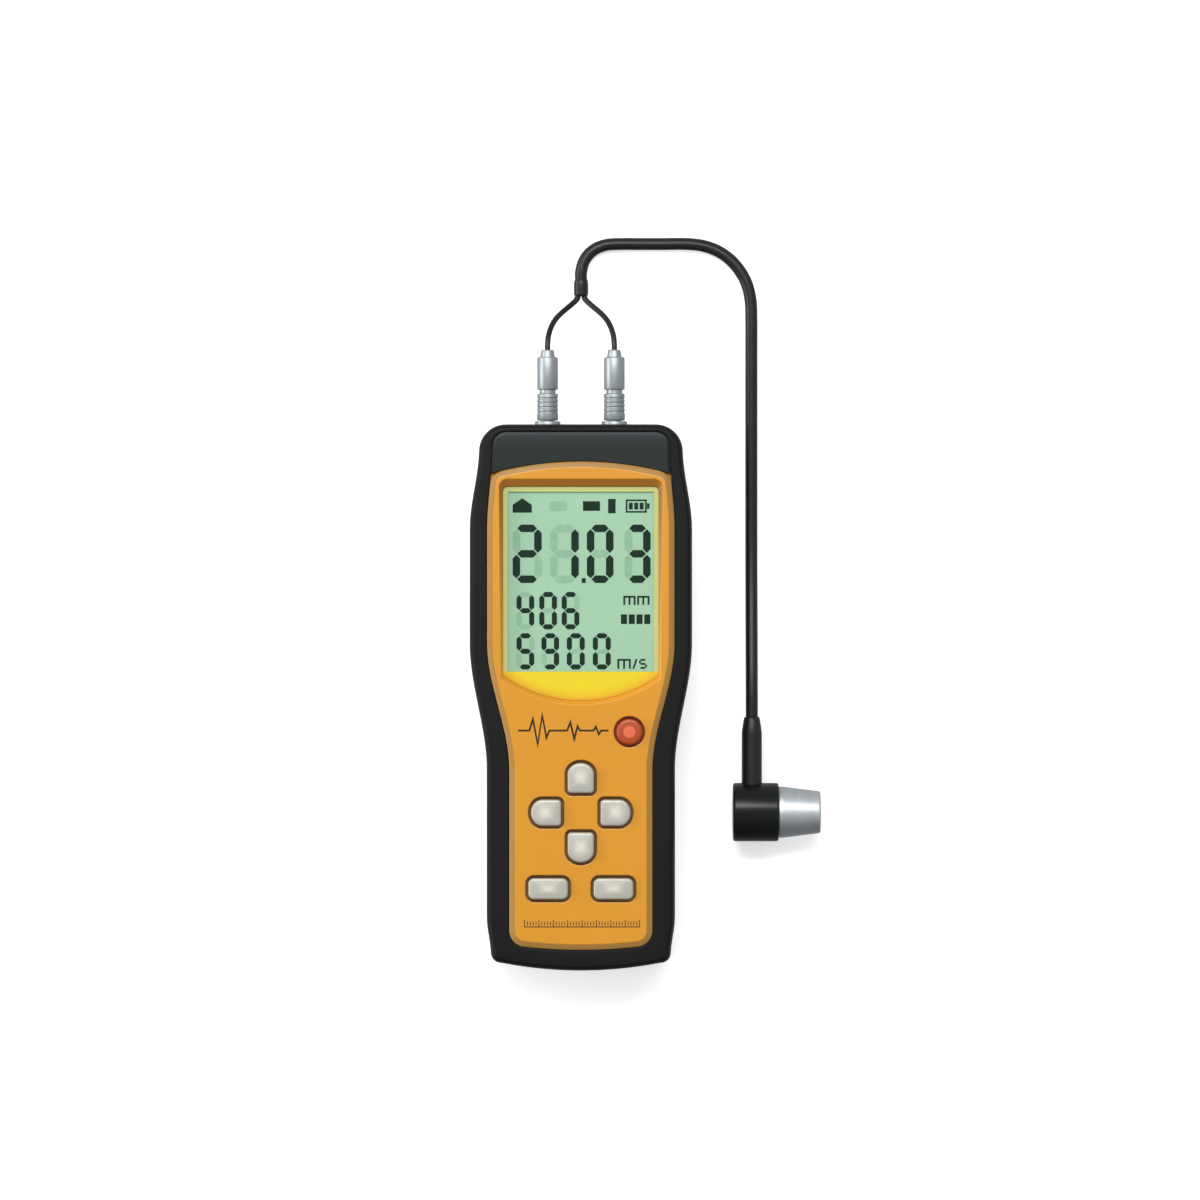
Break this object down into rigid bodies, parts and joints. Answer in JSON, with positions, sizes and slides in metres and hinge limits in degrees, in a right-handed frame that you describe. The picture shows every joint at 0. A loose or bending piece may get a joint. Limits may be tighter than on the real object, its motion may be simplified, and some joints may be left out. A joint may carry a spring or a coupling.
{
  "type": "ultrasonic thickness gauge",
  "caption": "Hand-held ultrasonic thickness gauge in a rubber boot, with an LCD, a keypad, a sliding battery door and an angled probe on a twin-plug lead.",
  "frame": {"origin": "middle of the gauge's length and width, on the plane its back rests on", "axes": "+Z out of the face, +Y along the gauge towards the sockets, +X to the face's right"},
  "size_m": [0.1178, 0.2463, 0.0327],
  "materials": {
    "boot_rubber": "matt",
    "orange_plastic": "satin",
    "black_plastic": "fine texture",
    "cap_plastic": "satin",
    "clear_plastic": "gloss",
    "yellow_print": "gloss",
    "display_glass": "gloss",
    "backlight_plastic": "satin",
    "sheet_steel": "plated",
    "contact_rubber": "matt",
    "board_laminate": "satin",
    "chip_plastic": "matt",
    "mat_rubber": "matt",
    "key_grey": "satin",
    "key_red": "satin",
    "nickel": "matt nickel",
    "cell_wrap": "printed sleeve",
    "wire_jacket": "satin",
    "cord_jacket": "satin",
    "probe_plastic": "satin",
    "nose_metal": "turned",
    "delay_plastic": "polished",
    "barrier_cork": "cork",
    "crystal": "ceramic",
    "backing": "filled resin"
  },
  "bodies": {
    "gauge": {"rubber_boot": "boot_rubber", "front_case": "orange_plastic", "rear_case": "black_plastic", "connector_cap": "cap_plastic", "display_window": "clear_plastic", "window_mask": "yellow_print", "lcd_frame": "sheet_steel", "lcd_glass": "display_glass", "backlight": "backlight_plastic", "contact_strips": "contact_rubber", "main_board": "board_laminate", "board_chips": "chip_plastic", "board_screws": "sheet_steel", "case_screws": "sheet_steel", "keypad_mat": "mat_rubber", "socket_left": "nickel", "socket_right": "nickel", "socket_nuts": "nickel", "socket_wires": "wire_jacket", "battery_left": "cell_wrap", "battery_right": "cell_wrap", "battery_springs": "sheet_steel", "battery_contacts": "sheet_steel"},
    "key_up": {"key_up": "key_grey"},
    "key_down": {"key_down": "key_grey"},
    "key_left": {"key_left": "key_grey"},
    "key_right": {"key_right": "key_grey"},
    "key_function_left": {"key_function_left": "key_grey"},
    "key_function_right": {"key_function_right": "key_grey"},
    "key_power": {"key_power": "key_red"},
    "battery_door": {"battery_door": "black_plastic"},
    "probe_lead": {"plug_core_left": "nickel", "plug_core_right": "nickel", "plug_nut_left": "nickel", "plug_nut_right": "nickel", "lead_left": "cord_jacket", "lead_right": "cord_jacket", "split_collar": "cord_jacket", "probe_cord": "cord_jacket", "strain_relief": "cord_jacket", "probe_body": "probe_plastic", "probe_nose": "nose_metal", "delay_blocks": "delay_plastic", "sound_barrier": "barrier_cork", "probe_crystals": "crystal", "probe_backing": "backing"},
    "plug_sleeve_left": {"plug_sleeve_left": "nickel"},
    "plug_sleeve_right": {"plug_sleeve_right": "nickel"}
  },
  "joints": [
    {"name": "key_up_press", "type": "slide", "parent": "gauge", "child": "key_up", "axis": [0, 0, -1], "range_m": [0, 0.0008], "stiffness_N_per_m": 800, "springref_m": -0.0005},
    {"name": "key_down_press", "type": "slide", "parent": "gauge", "child": "key_down", "axis": [0, 0, -1], "range_m": [0, 0.0008], "stiffness_N_per_m": 800, "springref_m": -0.0005},
    {"name": "key_left_press", "type": "slide", "parent": "gauge", "child": "key_left", "axis": [0, 0, -1], "range_m": [0, 0.0008], "stiffness_N_per_m": 800, "springref_m": -0.0005},
    {"name": "key_right_press", "type": "slide", "parent": "gauge", "child": "key_right", "axis": [0, 0, -1], "range_m": [0, 0.0008], "stiffness_N_per_m": 800, "springref_m": -0.0005},
    {"name": "key_function_left_press", "type": "slide", "parent": "gauge", "child": "key_function_left", "axis": [0, 0, -1], "range_m": [0, 0.0008], "stiffness_N_per_m": 800, "springref_m": -0.0005},
    {"name": "key_function_right_press", "type": "slide", "parent": "gauge", "child": "key_function_right", "axis": [0, 0, -1], "range_m": [0, 0.0008], "stiffness_N_per_m": 800, "springref_m": -0.0005},
    {"name": "key_power_press", "type": "slide", "parent": "gauge", "child": "key_power", "axis": [0, 0, -1], "range_m": [0, 0.0008], "stiffness_N_per_m": 800, "springref_m": -0.0005},
    {"name": "battery_door_slide", "type": "slide", "parent": "gauge", "child": "battery_door", "axis": [0, -1, 0], "range_m": [0, 0.062]},
    {"name": "probe_unplug", "type": "slide", "parent": "gauge", "child": "probe_lead", "axis": [0, 1, 0], "range_m": [0, 0.012]},
    {"name": "sleeve_left_release", "type": "slide", "parent": "probe_lead", "child": "plug_sleeve_left", "axis": [0, 1, 0], "range_m": [0, 0.001], "stiffness_N_per_m": 1500, "springref_m": -0.0003},
    {"name": "sleeve_right_release", "type": "slide", "parent": "probe_lead", "child": "plug_sleeve_right", "axis": [0, 1, 0], "range_m": [0, 0.001], "stiffness_N_per_m": 1500, "springref_m": -0.0003}
  ]
}
